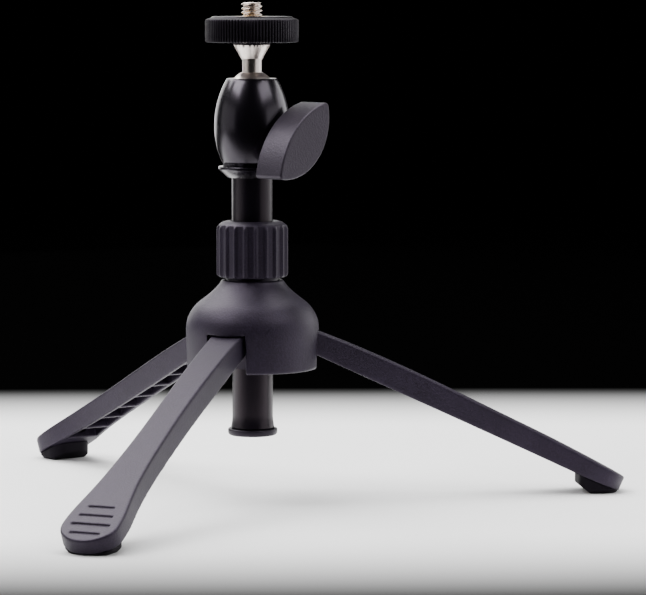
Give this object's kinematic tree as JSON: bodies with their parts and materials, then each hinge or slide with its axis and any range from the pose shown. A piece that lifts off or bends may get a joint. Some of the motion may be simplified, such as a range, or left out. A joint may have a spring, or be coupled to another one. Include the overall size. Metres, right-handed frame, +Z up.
{
  "type": "mini tripod with ball head",
  "caption": "Table-top mini tripod with folding channel legs, bell hub, twist-lock sliding column and a ball head with clamp knob, camera stud and knurled lock disc.",
  "frame": {"origin": "on the column's axis, on the surface that the three feet stand on", "axes": "+Z up along the column and the camera stud; +X along leg 1, with legs 2 and 3 at 120 and 240 degrees"},
  "size_m": [0.1781, 0.2028, 0.1508],
  "materials": {
    "charcoal_plastic": "fine moulded texture, charcoal with a slight violet cast",
    "black_plastic": "fine moulded texture",
    "acetal": "natural machined",
    "black_tube": "satin black anodised",
    "black_gloss": "gloss black",
    "black_rubber": "matt",
    "nickel_plate": "bright nickel",
    "zinc_steel": "zinc plated",
    "black_washer": "fibre washer, matt",
    "brass": "turned"
  },
  "bodies": {
    "hub": {"hub_housing": "charcoal_plastic", "hub_core": "black_plastic", "core_screws": "zinc_steel", "leg_pin_1": "zinc_steel", "leg_pin_2": "zinc_steel", "leg_pin_3": "zinc_steel"},
    "leg_1": {"leg_1": "charcoal_plastic", "foot_pad_1": "black_rubber"},
    "leg_2": {"leg_2": "charcoal_plastic", "foot_pad_2": "black_rubber"},
    "leg_3": {"leg_3": "charcoal_plastic", "foot_pad_3": "black_rubber"},
    "collar": {"lock_collar": "charcoal_plastic"},
    "collet": {"collet": "acetal"},
    "column": {"column_tube": "black_tube", "column_end_cap": "black_plastic", "column_plug": "black_plastic", "head_base": "black_gloss", "head_bolt": "zinc_steel", "head_body": "black_gloss", "pressure_block": "acetal"},
    "knob": {"clamp_screw": "zinc_steel", "knob_washer": "acetal", "clamp_knob": "black_plastic"},
    "cup": {"ball_cup": "acetal"},
    "stem": {"ball": "nickel_plate", "camera_screw": "nickel_plate", "stem_flange": "nickel_plate", "flange_washer": "black_washer"},
    "nut": {"disc_insert": "brass"},
    "disc": {"lock_disc": "black_plastic"}
  },
  "joints": [
    {"name": "leg_1_fold", "type": "hinge", "parent": "hub", "child": "leg_1", "pos_m": [0.0135, 0, 0.0488], "axis": [0, 1, 0], "range_deg": [0, 65]},
    {"name": "leg_2_fold", "type": "hinge", "parent": "hub", "child": "leg_2", "pos_m": [-0.00675, 0.01169, 0.0488], "axis": [-0.866, -0.5, 0], "range_deg": [0, 65]},
    {"name": "leg_3_fold", "type": "hinge", "parent": "hub", "child": "leg_3", "pos_m": [-0.00675, -0.01169, 0.0488], "axis": [0.866, -0.5, 0], "range_deg": [0, 65]},
    {"name": "collar_turn", "type": "hinge", "parent": "hub", "child": "collar", "pos_m": [0, 0, 0.0678], "axis": [0, 0, 1], "range_deg": [0, 120]},
    {"name": "column_turn", "type": "hinge", "parent": "hub", "child": "collet", "pos_m": [0, 0, 0.0771], "axis": [0, 0, 1], "continuous": true},
    {"name": "column_lift", "type": "slide", "parent": "collet", "child": "column", "axis": [0, 0, 1], "range_m": [-0.013, 0.015]},
    {"name": "knob_turn", "type": "hinge", "parent": "column", "child": "knob", "pos_m": [0, 0, 0.1086], "axis": [0.6428, -0.766, 0], "range_deg": [0, 180]},
    {"name": "ball_pan", "type": "hinge", "parent": "column", "child": "cup", "pos_m": [0, 0, 0.12345], "axis": [0, 0, 1], "continuous": true},
    {"name": "ball_tilt", "type": "hinge", "parent": "cup", "child": "stem", "pos_m": [0, 0, 0.12345], "axis": [0, 1, 0], "range_deg": [-22, 22]},
    {"name": "disc_lift", "type": "slide", "parent": "stem", "child": "nut", "axis": [0, 0, 1], "range_m": [0, 0.00254]},
    {"name": "disc_turn", "type": "hinge", "parent": "nut", "child": "disc", "pos_m": [0, 0, 0.1388], "axis": [0, 0, 1], "range_deg": [0, 720]}
  ],
  "couplings": [
    {"joint": "disc_lift", "follows": "disc_turn", "m_per_rad": 0.00020213}
  ]
}
